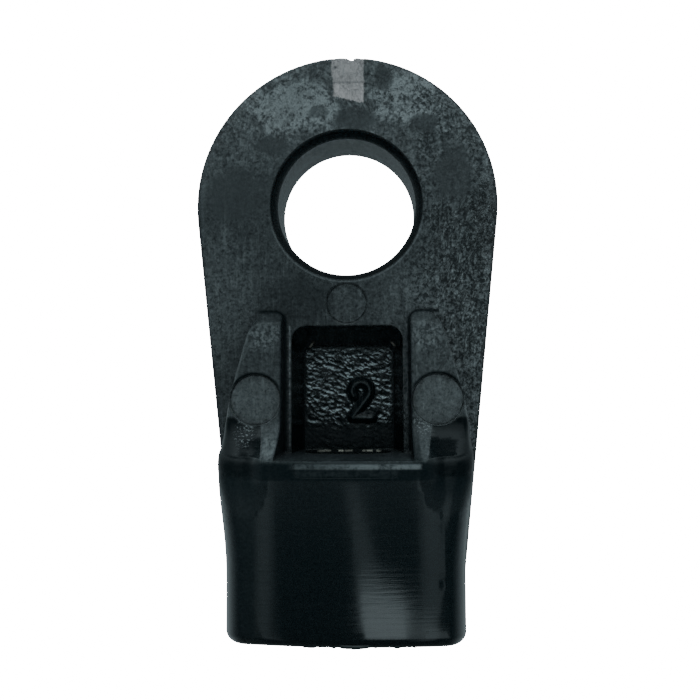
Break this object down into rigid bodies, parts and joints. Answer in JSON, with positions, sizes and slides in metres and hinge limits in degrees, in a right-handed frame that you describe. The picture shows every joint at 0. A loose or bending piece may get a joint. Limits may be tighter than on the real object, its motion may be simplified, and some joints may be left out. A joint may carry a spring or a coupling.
{
  "type": "cord lock with attachment eye",
  "caption": "Moulded cord lock: a flat tapering eye plate above a ribbed, pocketed barrel, with a spring-loaded push button in the back that pinches a pair of cords.",
  "frame": {"origin": "centre of the eye's bore, in the plate's middle plane", "axes": "+Z from the barrel's mouth up to the eye, +X to the right seen from the ribbed front, the ribbed front faces -Y and the push button faces +Y"},
  "size_m": [0.027, 0.0189, 0.05],
  "materials": {
    "body_plastic": "dark teal-black moulded plastic, satin plate with blush marks and a glossy barrel",
    "button_plastic": "near-black moulded plastic, satin",
    "spring_steel": "drawn stainless spring wire"
  },
  "bodies": {
    "body": {"body": "body_plastic", "spring": "spring_steel"},
    "plunger": {"plunger": "button_plastic"}
  },
  "joints": [
    {"name": "plunger_slide", "type": "slide", "parent": "body", "child": "plunger", "axis": [0, -1, 0], "range_m": [0, 0.0034], "stiffness_N_per_m": 1000, "deforming": ["spring"]}
  ]
}
